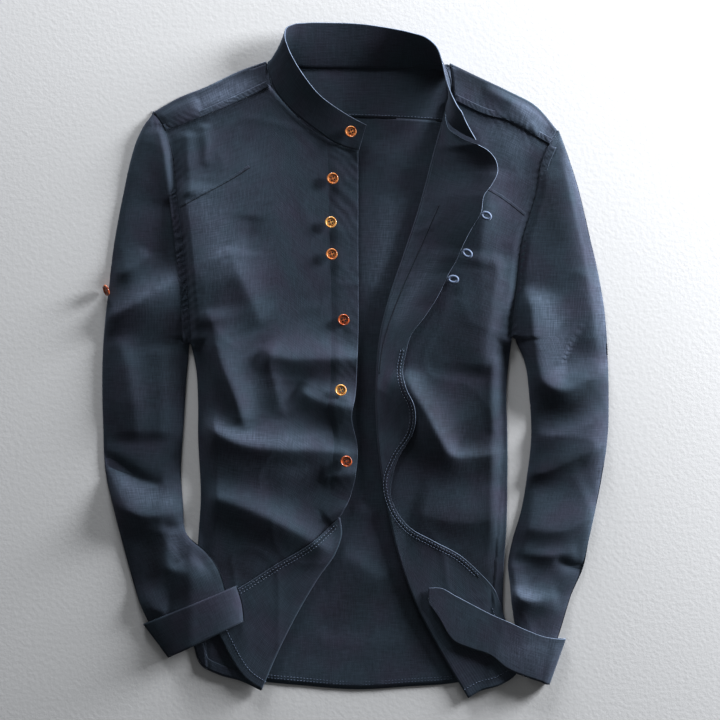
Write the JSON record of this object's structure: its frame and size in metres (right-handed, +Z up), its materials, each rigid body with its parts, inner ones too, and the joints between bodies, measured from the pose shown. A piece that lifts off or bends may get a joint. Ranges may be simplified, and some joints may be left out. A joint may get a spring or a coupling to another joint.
{
  "type": "band collar dress shirt",
  "caption": "Navy band-collar dress shirt laid open and flat, with a buttoned front edge, fabric loops on the turned-out edge and rolled cuffs.",
  "frame": {"origin": "centre of the shirt's outline on the surface that it lies on, z = 0 at its underside", "axes": "+Z up from the surface, +Y from hem to neck, +X to the right as seen from above"},
  "size_m": [0.5572, 0.7409, 0.0494],
  "materials": {
    "linen": "navy linen and cotton plain weave, washed, matt",
    "linen_inside": "inside of the same navy cloth, matt",
    "horn": "polished horn-look resin, orange brown",
    "loop_cord": "stitched navy thread loops"
  },
  "bodies": {
    "root": {"back": "linen_inside", "yoke": "linen", "front_left": "linen", "front_right": "linen", "placket_left": "linen", "collar": "linen", "sleeve_left": "linen", "sleeve_right": "linen", "cuff_left": "linen", "cuff_right": "linen", "button_collar": "horn", "button_1": "horn", "button_2": "horn", "button_3": "horn", "button_4": "horn", "button_5": "horn", "button_6": "horn", "button_sleeve": "horn", "loop_1": "loop_cord", "loop_2": "loop_cord", "loop_3": "loop_cord"}
  },
  "joints": []
}
